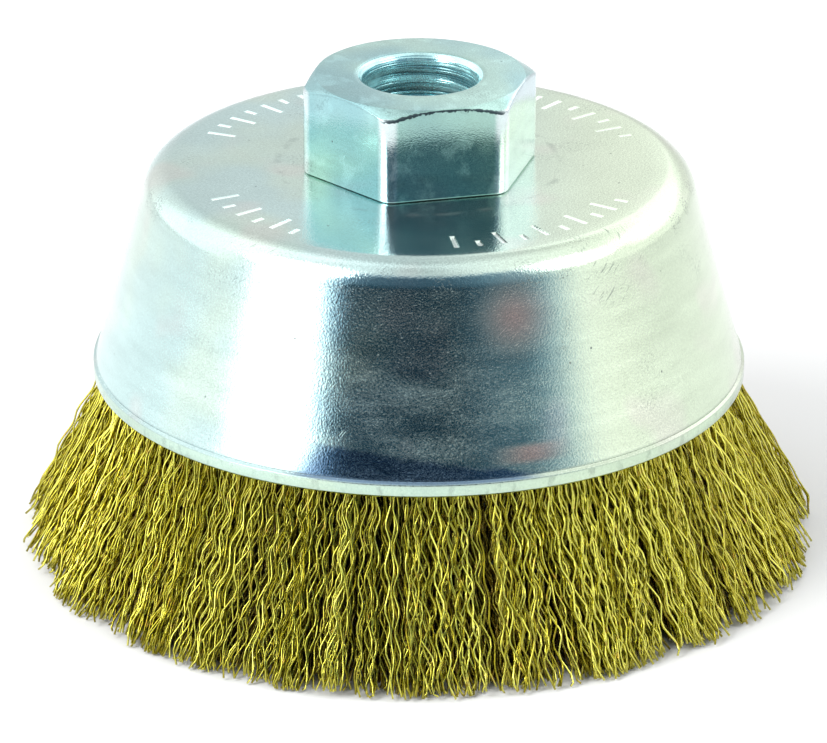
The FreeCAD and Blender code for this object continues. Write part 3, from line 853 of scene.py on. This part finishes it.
@dataclass
class DriveNut:
    """Hexagon nut with its threaded bore, and its neck riveted over under the cups."""

    across_flats: float = 24 * MM
    foot: float = 45.6 * MM
    top: float = 56.4 * MM
    corner_round: float = 1.8 * MM
    corner_segments: int = 6
    flat_cuts: int = 17
    face_radius: float = 11.9 * MM
    bevel_angle: float = math.radians(30)
    bevel_round: float = 0.07 * MM
    bevel_step: float = 0.4
    face_round: float = 0.35 * MM
    mouth_radius: float = 7.2 * MM
    mouth_border: float = 0.5 * MM
    mouth_round: float = 0.1 * MM
    crest_radius: float = 6.5 * MM
    root_radius: float = 6.6 * MM
    pitch: float = 2 * MM
    steps: int = 64
    skim: float = 0.15 * MM
    neck_radius: float = 9 * MM
    rivet_radius: float = 11.4 * MM
    rivet_top: float = 42.9 * MM
    rivet_foot: float = 41.3 * MM
    rivet_bevel: float = 0.6 * MM
    rivet_border: float = 0.3 * MM
    burr_reach: float = 0.5 * MM
    foot_round: float = 0.35 * MM
    finish: NutZinc = field(default_factory=lambda: NutZinc("nut_zinc"))

    def bevel_drop(self, radius: float) -> float:
        """Depth of the turned bevel below the top face at a radius."""
        return max(0.0, radius - self.face_radius) * math.tan(self.bevel_angle)

    def part_way(self, point: Vector) -> Spot:
        """Step a little way up the bevel from its edge, and not past its top.

        Args:
            point: A point on the bevel's edge.

        Returns:
            The new radius and height.
        """
        radius = point.to_2d().length
        inner = max(self.face_radius + (radius - self.face_radius) * self.bevel_step,
                    radius - self.burr_reach)
        return inner, self.top - self.bevel_drop(inner)

    def hexagon(self, bm: bmesh.types.BMesh) -> list[bmesh.types.BMEdge]:
        """Draw the rounded hexagon, with points along its flats, at the nut's foot.

        Args:
            bm: The shape to draw in.

        Returns:
            The edges of the outline.
        """
        bmesh.ops.create_circle(bm, segments=6, radius=self.across_flats / math.sqrt(3),
                                matrix=Matrix.Translation((0, 0, self.foot))
                                @ Matrix.Rotation(HALF_SIDE, 4, "Z"))
        lifted = bmesh.ops.extrude_edge_only(bm, edges=list(bm.edges))["geom"]
        bmesh.ops.translate(bm, vec=(0, 0, MM), verts=[
            item for item in lifted if isinstance(item, bmesh.types.BMVert)])
        upright = [edge for edge in bm.edges
                   if abs(edge.verts[0].co.z - edge.verts[1].co.z) > MM / 2]
        round_edges(bm, upright, self.corner_round * math.tan(HALF_SIDE), self.corner_segments)
        bmesh.ops.delete(bm, context="VERTS", geom=[
            vertex for vertex in bm.verts if vertex.co.z > self.foot + MM / 2])
        flats = [edge for edge in bm.edges if edge.calc_length() > self.across_flats / 5]
        bmesh.ops.subdivide_edges(bm, edges=flats, cuts=self.flat_cuts)
        return list(bm.edges)

    def thread(self) -> bpy.types.Mesh:
        """Spin the thread's tooth up the bore and cut it back to the two flares.

        Returns:
            The bore's wall, which is open at both ends.
        """
        bm = bmesh.new()
        root, crest = self.root_radius, self.crest_radius
        tooth = (0.0, root), (0.125, root), (0.4375, crest), (0.6875, crest), (1.0, root)
        foot = self.rivet_foot - self.pitch
        verts = [bm.verts.new((radius, 0.0, foot + share * self.pitch)) for share, radius in tooth]
        edges = [bm.edges.new(pair) for pair in zip(verts, verts[1:])]
        bmesh.ops.subdivide_edges(bm, edges=edges[1:2] + edges[3:4], cuts=3)
        turns = math.ceil((self.top - foot) / self.pitch) + 1
        bmesh.ops.spin(bm, geom=list(bm.verts) + list(bm.edges), cent=(0, 0, 0), axis=UP,
                       dvec=(0, 0, self.pitch / self.steps), angle=math.tau * turns,
                       steps=self.steps * turns, use_merge=False, use_duplicate=False)
        bmesh.ops.remove_doubles(bm, verts=bm.verts, dist=0.002 * MM)
        for height, side in ((self.top - self.skim, 1), (self.rivet_foot + self.skim / 2, -1)):
            bmesh.ops.bisect_plane(bm, geom=list(bm.verts) + list(bm.edges) + list(bm.faces),
                                   plane_co=(0, 0, height), plane_no=(0, 0, side),
                                   clear_outer=True)
        for vertex in bm.verts:
            flat = vertex.co.to_2d()
            flare = max(self.mouth_radius - (self.top - vertex.co.z),
                        root - (vertex.co.z - self.rivet_foot))
            flat *= max(flat.length, flare) / flat.length
            vertex.co = Vector((flat.x, flat.y, vertex.co.z))
        return free_to_mesh(bm, "bore")

    def head(self, bm: bmesh.types.BMesh,
             outline: list[bmesh.types.BMEdge]) -> tuple[list[bmesh.types.BMEdge], ...]:
        """Raise the flats, the bevel and the top face from the hexagon's outline.

        Args:
            bm: The shape.
            outline: The hexagon at the nut's foot.

        Returns:
            The edges of the bevel's foot, of the top face and of the bore's mouth.
        """
        burr = bm.verts.layers.float["burr"]
        rim = outline
        for below in (self.burr_reach, 0.0):
            rim = step_ring(bm, rim, lambda point, below=below: (
                point.to_2d().length, self.top - self.bevel_drop(point.to_2d().length) - below))
        bevel_edge = rim
        inner_edge = step_ring(bm, bevel_edge, self.part_way)
        for edges, amount in ((bevel_edge, 1.0), (inner_edge, 0.0)):
            for vertex in {vertex for edge in edges for vertex in edge.verts}:
                vertex[burr] = amount
        face_edge = step_ring(bm, inner_edge, lambda point: (self.face_radius, self.top))
        rim = step_ring(bm, face_edge, lambda point: (
            self.mouth_radius + self.mouth_border, self.top))
        return bevel_edge, face_edge, step_ring(bm, rim, lambda point: (
            self.mouth_radius, self.top))

    def build(self) -> bpy.types.Object:
        """Model and dress the nut.

        Returns:
            The piece.
        """
        bore = self.thread()
        bm = bmesh.new()
        bm.verts.layers.float.new("burr")
        outline = self.hexagon(bm)
        bevel_edge, face_edge, mouth = self.head(bm, outline)
        rim = outline
        for radius, height in ((self.neck_radius, self.foot), (self.neck_radius, self.rivet_top),
                               (self.rivet_radius, self.rivet_top),
                               (self.rivet_radius, self.rivet_foot + self.rivet_bevel),
                               (self.rivet_radius - self.rivet_bevel, self.rivet_foot),
                               (self.root_radius + self.rivet_border, self.rivet_foot)):
            rim = step_ring(bm, rim, lambda point, spot=(radius, height): spot)
        bm.from_mesh(bore)
        bpy.data.meshes.remove(bore)
        loose = [edge for edge in bm.edges if edge.is_boundary]
        upper = [edge for edge in loose if edge.verts[0].co.z > self.top - MM / 2]
        lower = [edge for edge in loose if edge.verts[0].co.z < self.rivet_foot + MM / 2]
        for loops in (upper, lower):
            bmesh.ops.bridge_loops(bm, edges=loops)
        for edges, width, segments in ((bevel_edge, self.bevel_round, 2),
                                       (face_edge, self.face_round, 3),
                                       (mouth, self.mouth_round, 2),
                                       (outline, self.foot_round, 3)):
            whole = [edge for edge in edges if edge.is_valid]
            round_edges(bm, whole, width, segments, clamp=True)
        mesh = close_mesh(bm, "drive_nut", math.radians(35))
        return shown_piece("drive_nut", mesh, [self.finish.material()], ["hex_nut"])


@dataclass
class CupShell:
    """Outer cup drawn from sheet: plate, rounded shoulder, wall and rim band."""

    hole_radius: float = 9.05 * MM
    hole_border: float = 14 * MM
    plate_top: float = 45.6 * MM
    plate_under: float = 44.1 * MM
    plate_radius: float = 30.8 * MM
    shoulder_radius: float = 3.6 * MM
    shoulder_segments: int = 10
    shoulder_slant: float = 2.1 * MM
    edge: float = 20.6 * MM
    wall_foot_radius: float = 37.35 * MM
    band_top: float = 22.2 * MM
    band_radius: float = 37.6 * MM
    band_round: float = 0.12 * MM
    crease: float = 0.12 * MM
    crease_height: float = 0.3 * MM
    crease_round: float = 0.08 * MM
    edge_bevel: float = 0.3 * MM
    edge_round: float = 0.1 * MM
    inside_edge_radius: float = 36.33 * MM
    wall_hollow: float = 0.14 * MM
    wall_parts: int = 8
    around: int = 240
    stamp_band: tuple[float, float, float] = (22.8 * MM, 24.6 * MM, 26.2 * MM)
    stamp_depth: float = 0.16 * MM
    stamp_inset: float = 0.20 * MM
    stamp_arcs: tuple[tuple[int, int], ...] = ((4, 40), (66, 100), (126, 152), (176, 214))
    stamp_every: int = 4
    # The greener side faces the camera's right, as a painted reflection.
    finish: CupZinc = field(default_factory=lambda: CupZinc(
        "cup_zinc", reflection_tint_side=(0.97, -0.25, 0.0)))

    def crease_spot(self) -> Spot:
        """Radius and height of the crease between the wall and the rim band."""
        return self.wall_foot_radius - self.crease, self.band_top + self.crease_height / 2

    def profile(self) -> list[Spot]:
        """Lay out the section of the sheet.

        Returns:
            The radius and height of its corners, from the hole outwards and back.
        """
        slope = (self.wall_foot_radius - self.plate_radius) / (self.plate_top - self.band_top)
        wall_end = self.band_top + self.crease_height
        wall = []
        for k in range(1, self.wall_parts + 1):
            share = k / self.wall_parts
            height = self.plate_top + (wall_end - self.plate_top) * share
            radius = self.plate_radius + (self.plate_top - height) * slope
            wall.append((radius - 4 * share * (1 - share) * self.wall_hollow, height))
        inside_slope = self.inside_edge_radius - slope * (self.plate_top - self.edge)
        inside_bend = inside_slope + slope * self.shoulder_radius
        return [
            *((radius, self.plate_top) for radius in (
                self.hole_radius, self.hole_border, *self.stamp_band, self.plate_radius)),
            *wall, self.crease_spot(),
            (self.band_radius, self.band_top), (self.band_radius, self.edge + self.edge_bevel),
            (self.band_radius - self.edge_bevel, self.edge), (self.inside_edge_radius, self.edge),
            (inside_bend, self.plate_top - self.shoulder_radius),
            (inside_bend - self.shoulder_slant, self.plate_under),
            (self.hole_radius, self.plate_under),
        ]

    def stamp(self, bm: bmesh.types.BMesh) -> None:
        """Sink arcs of plain long and short bars into the plate.

        Args:
            bm: The cup.
        """
        low, middle, high = self.stamp_band
        step = math.tau / self.around
        chosen = []
        for face in bm.faces:
            spot = face.calc_center_median()
            radius = spot.to_2d().length
            if not (low < radius < high and spot.z > self.plate_top - MM / 10):
                continue
            place = int((math.atan2(spot.y, spot.x) % math.tau) / step)
            in_arc = any(first <= place < last for first, last in self.stamp_arcs)
            short = place % (2 * self.stamp_every) != 0
            if in_arc and place % self.stamp_every == 0 and not (short and radius < middle):
                chosen.append(face)
        bmesh.ops.inset_region(bm, faces=chosen, thickness=self.stamp_inset,
                               use_even_offset=True)
        sunk = {vertex for face in chosen for vertex in face.verts}
        bmesh.ops.translate(bm, vec=(0, 0, -self.stamp_depth), verts=list(sunk))
        stamped = bm.verts.layers.float["stamped"]
        for vertex in sunk:
            vertex[stamped] = 1.0

    def build(self) -> bpy.types.Object:
        """Model and dress the cup.

        Returns:
            The piece.
        """
        bm = bmesh.new()
        bm.verts.layers.float.new("stamped")
        verts = [bm.verts.new((radius, 0.0, height)) for radius, height in self.profile()]
        edges = [bm.edges.new(pair) for pair in zip(verts, verts[1:] + verts[:1])]
        bmesh.ops.spin(bm, geom=verts + edges, cent=(0, 0, 0), axis=UP, dvec=(0, 0, 0),
                       angle=math.tau, steps=self.around, use_merge=True, use_duplicate=False)
        wall_angle = math.atan2(self.plate_top - self.band_top,
                                self.wall_foot_radius - self.plate_radius)
        shoulder = self.shoulder_radius * math.tan(wall_angle / 2)
        for radius, height, width, segments in (
                (self.plate_radius, self.plate_top, shoulder, self.shoulder_segments),
                (self.band_radius, self.band_top, self.band_round, 2),
                (self.band_radius, self.edge + self.edge_bevel, self.edge_round, 2),
                (self.band_radius - self.edge_bevel, self.edge, self.edge_round, 2),
                (*self.crease_spot(), self.crease_round, 2)):
            round_edges(bm, (edge for edge in bm.edges if all(
                abs(vertex.co.to_2d().length - radius) < MM / 100
                and abs(vertex.co.z - height) < MM / 100 for vertex in edge.verts)),
                width, segments)
        self.stamp(bm)
        mesh = close_mesh(bm, "cup_shell", math.radians(30))
        return shown_piece("cup_shell", mesh, [self.finish.material()], ["outer_cup"])


@dataclass
class Clump:
    """Wires that lean the same way, as those of one hank do."""

    reach: float
    sideways: float
    lift: float
    phase: float
    tone: float


@dataclass
class WireSkirt:
    """Crimped wires, folded over the retaining ring and flared out below the cup.

    The fields that start with clump_, own_ and stray_ say how widely chance spreads what the
    wires of a clump share, what each wire adds to it, and what a wire that strays adds.
    """

    sectors: int = 10
    tufts: int = 30
    clumps_per_sector: int = 8
    wires_per_sector: int = 740
    wire_radius: float = 0.12 * MM
    section_radius: float = 0.1344 * MM
    clearance: float = 0.1 * MM
    sides: int = 3
    root: float = 31 * MM
    rim: float = 20.6 * MM
    rim_inside: float = 36.33 * MM
    wall_slope: float = 0.2835
    mouth: float = 19.4 * MM
    lip: float = 27.6 * MM
    lip_end: float = 26.4 * MM
    lip_radius: float = 25.0 * MM
    lip_slope: float = 0.2727
    tip_radius: float = 46.0 * MM
    tip_inner_radius: float = 28.2 * MM
    tip_height: float = 0.15 * MM
    largest_radius: float = 46.15 * MM
    spread: float = 1.15
    wave: float = 4.9 * MM
    wave_range: Span = (0.9, 1.12)
    swing: float = 0.33 * MM
    swing_range: Span = (0.7, 1.3)
    twist: float = 0.9
    crimp_start: float = 21.0 * MM
    first_bend: float = 0.2 * MM
    in_step: float = 0.35
    outside_depth: float = 0.45
    depth_power: float = 0.72
    clump_reach: float = 0.5 * MM
    clump_sideways: float = 1.0 * MM
    clump_lift: float = 0.6 * MM
    clump_tone: float = 0.08
    clump_edge: float = 0.1
    own_reach: float = 0.3 * MM
    own_sideways: float = 0.9 * MM
    own_lift: float = 0.3 * MM
    own_phase: float = 0.07
    own_bow: float = 0.5 * MM
    own_tone: float = 0.36
    middle_tone: float = 0.42
    stray_share: float = 0.05
    stray_reach: Span = (0.2 * MM, 0.9 * MM)
    stray_sideways: float = 2.2 * MM
    ring_radius: float = 26.4 * MM
    ring_height: float = 39.4 * MM
    fold_radius: float = 2.1 * MM
    fold_layer: float = 0.85 * MM
    fold_waist: float = -3.5 * MM
    fold_foot: float = -9.4 * MM
    fold_wires: int = 84
    fold_tone: float = 0.5
    # How deep in painted shade the folded bundles are coloured.
    fold_inside_shade: float = 0.6
    bundle: float = 2.6
    seed: int = 5
    finish: BrassCoat = field(default_factory=lambda: BrassCoat("brass_wire"))
    end_finish: CutEnd = field(default_factory=lambda: CutEnd("cut_steel"))

    def outer_line(self, height: float) -> float:
        """Follow the cup's wall and flare out below its mouth.

        Args:
            height: Height above the tips.

        Returns:
            The radius of the outermost wires there.
        """
        clear = self.wire_radius + self.clearance
        wall = self.rim_inside - (max(height, self.mouth) - self.rim) * self.wall_slope - clear
        share = (max(0.0, self.mouth - height) / self.mouth) ** self.spread
        return wall + (self.tip_radius - wall) * share

    def inner_line(self, height: float) -> float:
        """Follow the inner cup's lip and spread out below it.

        Args:
            height: Height above the tips.

        Returns:
            The radius of the innermost wires there.
        """
        clear = self.wire_radius + self.clearance
        wall = self.lip_radius - (max(height, self.lip_end) - self.lip) * self.lip_slope + clear
        share = max(0.0, self.lip_end - height) / self.lip_end
        return wall + (self.tip_inner_radius - wall) * share

    def new_clump(self, draw: random.Random) -> Clump:
        """Draw how the wires of a clump lean.

        Args:
            draw: Source of chance.

        Returns:
            The clump.
        """
        return Clump(reach=draw.gauss(0, self.clump_reach),
                     sideways=draw.gauss(0, self.clump_sideways),
                     lift=max(0.0, draw.gauss(0, self.clump_lift)), phase=draw.random(),
                     tone=draw.gauss(0, self.clump_tone))

    def crimps(self, draw: random.Random, start: float, end: float, slant: float,
               phase: float, fine: bool) -> list[Spot]:
        """Lay out the corners of a wire's crimp.

        Args:
            draw: Source of chance.
            start: Height of the first crimp.
            end: Height of the wire's tip.
            slant: Length of the wire for each unit of height.
            phase: Where in a whole crimp the wire starts, from 0 to 1.
            fine: Whether each bend has two corners, or one.

        Returns:
            The height of each corner and how far it lies to the side, from the top down.
        """
        swing = self.swing * draw.uniform(*self.swing_range)
        half = self.wave * draw.uniform(*self.wave_range) / slant / 2
        side = swing if phase < 0.5 else -swing
        spot = start - self.first_bend - phase % 0.5 * 2 * half
        corners = [(self.root, 0.0), (start, 0.0)]
        while spot - half / 3 > end + self.first_bend:
            corners += [(spot, side), (spot - half / 3, side)] if fine else [
                (spot - half / 6, side)]
            spot -= half
            side = -side
        corners.append((end, side * min(1.0, (corners[-1][0] - end) / half)))
        return corners

    def wire_line(self, draw: random.Random, angle: float, depth: float,
                  clump: Clump) -> list[Place]:
        """Bend one wire.

        Args:
            draw: Source of chance.
            angle: Its angle round the cup.
            depth: Its place in the skirt, from 0 at the hollow to 1 outside.
            clump: The clump that it belongs to.

        Returns:
            The points of its middle line, from its root down to its tip.
        """
        outside = depth > self.outside_depth
        stray = outside and draw.random() < self.stray_share
        reach = (clump.reach + draw.gauss(0, self.own_reach)) * depth
        if stray:
            reach += draw.uniform(*self.stray_reach)
        lean = self.stray_sideways if stray else self.own_sideways
        sideways = clump.sideways + draw.gauss(0, lean)
        end = self.tip_height + clump.lift + abs(draw.gauss(0, self.own_lift))
        phase = (clump.phase + draw.gauss(0, self.own_phase)) % 1.0 if (
            draw.random() < self.in_step) else draw.random()
        twist = draw.uniform(-self.twist, self.twist)
        bow = draw.gauss(0, self.own_bow)
        start = self.crimp_start + (self.lip - self.mouth) * max(0.0, 1 - depth * 2.2)
        slant = math.hypot(1, (self.tip_radius - self.rim_inside) / self.rim * depth)
        x, y = math.cos(angle), math.sin(angle)
        points = []
        for height, side in self.crimps(draw, start, end, slant, phase, outside):
            share = max(0.0, (self.rim - height) / self.rim)
            inner, outer = self.inner_line(height), self.outer_line(height)
            radius = inner + (outer - inner) * depth ** (1.0 - 0.4 * share) + reach * share ** 1.4
            radius += side * math.sin(twist) + bow * math.sin(math.pi * min(1.0, share)) * depth
            radius = min(radius, outer if height > self.mouth else self.largest_radius)
            along = side * math.cos(twist) + sideways * share ** 1.6
            points.append((radius * x - along * y, radius * y + along * x, height))
        return points

    def fold_line(self, angle: float, layer: int) -> list[Place]:
        """Bend one bundle of wires over the retaining ring.

        Args:
            angle: Its angle round the cup.
            layer: 0 for the bundles on the ring, 1 for those packed over them.

        Returns:
            The points of its middle line.
        """
        half = self.fold_radius + layer * self.fold_layer
        x, y = math.cos(angle), math.sin(angle)
        outline = [(half * 1.6, self.fold_foot), (half * 1.2, self.fold_waist)]
        outline += [(half * math.cos(turn), half * math.sin(turn))
                    for turn in (math.pi * k / 6 for k in range(7))]
        outline += [(-half * 1.1, self.fold_waist), (-half * 1.2, self.fold_foot)]
        return [((self.ring_radius + across) * x, (self.ring_radius + across) * y,
                 self.ring_height + up) for across, up in outline]

    def section(self) -> bpy.types.Object:
        """Draw the three-sided outline that the wires are swept from.

        Returns:
            The outline.
        """
        curve = bpy.data.curves.new("wire_section", "CURVE")
        turns = [math.tau * k / self.sides for k in range(self.sides)]
        outline = draw_line(curve, [
            (self.section_radius * math.cos(turn), self.section_radius * math.sin(turn), 0.0)
            for turn in turns])
        outline.use_cyclic_u = True
        return put("wire_section", curve)

    def sweep(self, lines: Sequence[Sequence[Place]], loose: int,
              outline: bpy.types.Object) -> bpy.types.Mesh:
        """Sweep the wires' section along their middle lines.

        Args:
            lines: The middle lines of the single wires, and then those of the folded bundles.
            loose: Number of single wires.
            outline: The section.

        Returns:
            The wires, whose end caps aren't joined to their sides.
        """
        curve = bpy.data.curves.new("crimped", "CURVE")
        curve.dimensions = "3D"
        curve.bevel_mode = "OBJECT"
        curve.bevel_object = outline
        curve.use_fill_caps = True
        for line in lines[:loose]:
            draw_line(curve, line)
        for line in lines[loose:]:
            draw_line(curve, line).points.foreach_set("radius", [self.bundle] * len(line))
        swept = put("crimped", curve)
        bpy.context.view_layer.update()
        depsgraph = bpy.context.evaluated_depsgraph_get()
        mesh = bpy.data.meshes.new_from_object(swept.evaluated_get(depsgraph))
        drop_curve(swept)
        return mesh

    def build_sector(self, number: int, outline: bpy.types.Object,
                     materials: Sequence[bpy.types.Material]) -> bpy.types.Object:
        """Model and dress the wires of one sector.

        Args:
            number: Which sector, from 0.
            outline: The section that the wires are swept from.
            materials: The wires' finish and that of their cut ends.

        Returns:
            The piece.
        """
        draw = random.Random(self.seed * 1000 + number)
        width = math.tau / self.sectors
        first_angle = number * width - math.tau / self.tufts / 2
        clumps = [self.new_clump(draw) for _ in range(self.clumps_per_sector)]
        lines, tones, inside_shades = [], [], []
        for k in range(self.wires_per_sector):
            share = (k + draw.random()) / self.wires_per_sector
            depth = draw.random() ** self.depth_power
            place = share * self.clumps_per_sector + draw.gauss(0, self.clump_edge)
            clump = clumps[min(self.clumps_per_sector - 1, max(0, int(place)))]
            lines.append(self.wire_line(draw, first_angle + share * width, depth, clump))
            tone = self.middle_tone + clump.tone + draw.gauss(0, self.own_tone)
            tones.append(min(1.0, max(0.0, tone)))
            # Each wire's distance from the skirt's inner and outer faces, which the finish paints as
            # shade.
            inside_shades.append(min(1.0 - depth, depth))
        for layer in range(2):
            for k in range(self.fold_wires // 2):
                angle = first_angle + (k + 0.25 + layer / 2) * 2 * width / self.fold_wires
                lines.append(self.fold_line(angle, layer))
        tones += [self.fold_tone] * self.fold_wires
        inside_shades += [self.fold_inside_shade] * self.fold_wires

        mesh = self.sweep(lines, self.wires_per_sector, outline)
        self.mark(mesh, lines, {"tone": tones, "shaded_inside": inside_shades})
        self.weld(mesh)
        tufts = self.tufts // self.sectors
        stood_for = [f"wire_tuft_{number * tufts + k + 1:02d}" for k in range(tufts)]
        return shown_piece(f"crimped_wires_{number + 1:02d}", mesh, materials,
                           stood_for)

    def mark(self, mesh: bpy.types.Mesh, lines: Sequence[Sequence[Place]],
             marks: dict[str, Sequence[float]]) -> None:
        """Give every wire of a swept mesh its own numbers, for the finish.

        Args:
            mesh: The mesh, with the end caps of the last wire first and then every wire's sides.
            lines: The middle lines of the wires.
            marks: One number for each wire, by the attribute's name.
        """
        caps = 2 * self.sides
        for name, values in marks.items():
            spread = [value for value in reversed(values) for _ in range(caps)]
            for line, value in zip(lines, values):
                spread += [value] * (len(line) * self.sides)
            mesh.attributes.new(name, "FLOAT", "POINT").data.foreach_set("value", spread)

    def weld(self, mesh: bpy.types.Mesh) -> None:
        """Close the wires' ends and tell the cut ends from the coated sides.

        Args:
            mesh: The swept wires.
        """
        mesh.materials.clear()
        while mesh.uv_layers:
            mesh.uv_layers.remove(mesh.uv_layers[0])
        bm = bmesh.new()
        bm.from_mesh(mesh)
        bmesh.ops.remove_doubles(bm, verts=bm.verts, dist=0.0001 * MM)
        bmesh.ops.recalc_face_normals(bm, faces=bm.faces)
        for face in bm.faces:
            face.material_index = int(len(face.verts) == self.sides)
        bm.to_mesh(mesh)
        bm.free()

    def build(self) -> list[bpy.types.Object]:
        """Model and dress every sector.

        Returns:
            The pieces.
        """
        outline = self.section()
        materials = [self.finish.material(), self.end_finish.material()]
        pieces = [self.build_sector(k, outline, materials) for k in range(self.sectors)]
        drop_curve(outline)
        return pieces


@dataclass
class HiddenSteel:
    """The CAD part's own inner cup and retaining ring, with their finishes."""

    inner_cup: BrightZinc = field(default_factory=lambda: BrightZinc(
        "inner_cup_zinc", haze=0.30, grain_depth=0.01 * MM))
    ring: BrightZinc = field(default_factory=lambda: BrightZinc(
        "ring_zinc", haze=0.36, cool=(0.48, 0.50, 0.50), green=(0.52, 0.52, 0.48)))

    def dress(self) -> None:
        """Give the two CAD nodes their finishes."""
        for name, finish, slot in (("inner_cup", self.inner_cup, Slot.INNER_CUP),
                                   ("retaining_ring", self.ring, Slot.RING)):
            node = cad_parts[name]
            node.data.materials.clear()
            node.data.materials.append(finish.material())
            log.info("%s dressed", name)


@dataclass
class Lamp:
    """One soft light panel."""

    name: str
    azimuth: float
    elevation: float
    distance: float
    size: float
    power: float


@dataclass
class Studio:
    """Floor, soft light and camera."""

    azimuth: float = math.radians(14.24)
    elevation: float = math.radians(23.211)
    distance: float = 644.25 * MM
    aim_height: float = 19.69 * MM
    aim_right: float = -0.606 * MM
    roll: float = math.radians(0.276)
    lens: float = 242.1
    clip: Span = (0.05, 50.0)
    floor_size: float = 6.0
    white: Colour = (1.0, 1.0, 1.0)
    dusk: Colour = (0.22, 0.66, 1.10)
    lamps: tuple[Lamp, ...] = (
        Lamp("key", -58, 42, 0.9, 0.5, 6.0),
        Lamp("fill", 75, 40, 0.9, 0.5, 1.5),
    )

    def facing(self, azimuth: float, elevation: float) -> Vector:
        """Find a direction from the brush.

        Args:
            azimuth: Degrees to the viewer's right of the camera.
            elevation: Degrees up from the floor.

        Returns:
            The direction.
        """
        turn = self.azimuth - math.radians(azimuth)
        rise = math.radians(elevation)
        return Vector((-math.sin(turn) * math.cos(rise), -math.cos(turn) * math.cos(rise),
                       math.sin(rise)))

    def floor(self) -> None:
        """Lay the floor that the tips of the wires stand on."""
        bm = bmesh.new()
        bmesh.ops.create_grid(bm, x_segments=1, y_segments=1, size=self.floor_size)
        mesh = free_to_mesh(bm, "floor")
        mesh.materials.append(PaleFloor("pale_floor").material())
        plane = put("floor", mesh)

    def sky(self) -> None:
        """Surround the brush with a pale room that is dark behind the camera."""
        world = bpy.data.worlds.new("studio")
        world.use_nodes = True
        bpy.context.scene.world = world
        nodes = Nodes(world.node_tree)
        toward = nodes.add("ShaderNodeTexCoord").outputs["Generated"]
        level = nodes.vector("MULTIPLY", toward, LEVEL).outputs[0]
        flat = nodes.vector("NORMALIZE", level).outputs[0]
        up = nodes.measure("DOT_PRODUCT", toward, UP)

        def part(azimuth: float, start: float, full: float) -> Signal:
            """Measure how near a direction is to an azimuth, from 0 at start degrees to 1."""
            facing = nodes.measure("DOT_PRODUCT", flat, tuple(self.facing(azimuth, 0)))
            return facing.ramp(math.cos(math.radians(start)), math.cos(math.radians(full)))

        low = up.ramp(0.85, 0.72)
        below_lamps = up.ramp(0.75, 0.6)
        sides = part(-90.0, 80.0, 35.0) + part(90.0, 80.0, 35.0)
        left_panel = part(-51.0, 20.0, 13.0) * below_lamps
        right_panel = part(140.0, 42.0, 30.0) * up.ramp(0.22, 0.35) * below_lamps
        far_left = part(-114.0, 32.0, 12.0)
        overhead = up.ramp(0.90, 0.98)
        bright = (0.90 + sides * 0.52 + left_panel * 2.4 + right_panel * 0.8 - overhead * 0.14
                  + far_left * 0.3)
        glow = up.ramp(0.08, 0.42) * 0.155 + part(45.0, 35.0, 8.0) * 0.10
        dark = part(30.0, 73.0, 60.0) * part(-10.0, 77.5, 47.5) * low * (0.96 - glow)
        back = nodes.add("ShaderNodeBackground", {}, {
            "Color": nodes.blend(dark, self.white, self.dusk), "Strength": bright * (1.0 - dark)})
        nodes.add("ShaderNodeOutputWorld", {}, {"Surface": back.outputs[0]})

    def lights(self) -> None:
        """Hang the soft light panels."""
        for lamp in self.lamps:
            data = bpy.data.lights.new(lamp.name, "AREA")
            data.shape = "DISK"
            data.size = lamp.size
            data.energy = lamp.power
            away = self.facing(lamp.azimuth, lamp.elevation)
            panel = put(lamp.name, data)
            panel.location = Vector((0, 0, self.aim_height)) + away * lamp.distance
            panel.rotation_mode = "QUATERNION"
            panel.rotation_quaternion = away.to_track_quat("Z", "Y")
            panel.visible_camera = False

    def camera(self) -> None:
        """Set the camera at the viewing angle of the photograph."""
        back = self.facing(0, math.degrees(self.elevation))
        right = Vector((math.cos(self.azimuth), -math.sin(self.azimuth), 0))
        up = back.cross(right)
        tilted_right = right * math.cos(self.roll) + up * math.sin(self.roll)
        tilted_up = up * math.cos(self.roll) - right * math.sin(self.roll)
        data = bpy.data.cameras.new("camera")
        data.lens = self.lens
        data.clip_start, data.clip_end = self.clip
        aim = Vector((0, 0, self.aim_height)) + right * self.aim_right
        turned = Matrix((tilted_right, tilted_up, back)).transposed().to_4x4()
        eye = put("camera", data)
        eye.matrix_world = Matrix.Translation(aim + back * self.distance) @ turned
        bpy.context.scene.camera = eye

    def build(self) -> None:
        """Set up the studio."""
        self.camera()
        self.floor()
        self.sky()
        self.lights()
        view = bpy.context.scene.view_settings
        view.view_transform = "Standard"
        view.look = "None"
        log.info("studio set up")


def main() -> None:
    """Build the brush and its studio."""
    logging.basicConfig(level=logging.INFO, format="%(name)s: %(message)s")
    DriveNut().build()
    CupShell().build()
    WireSkirt().build()
    HiddenSteel().dress()
    Studio().build()


if __name__ == "__main__":
    main()
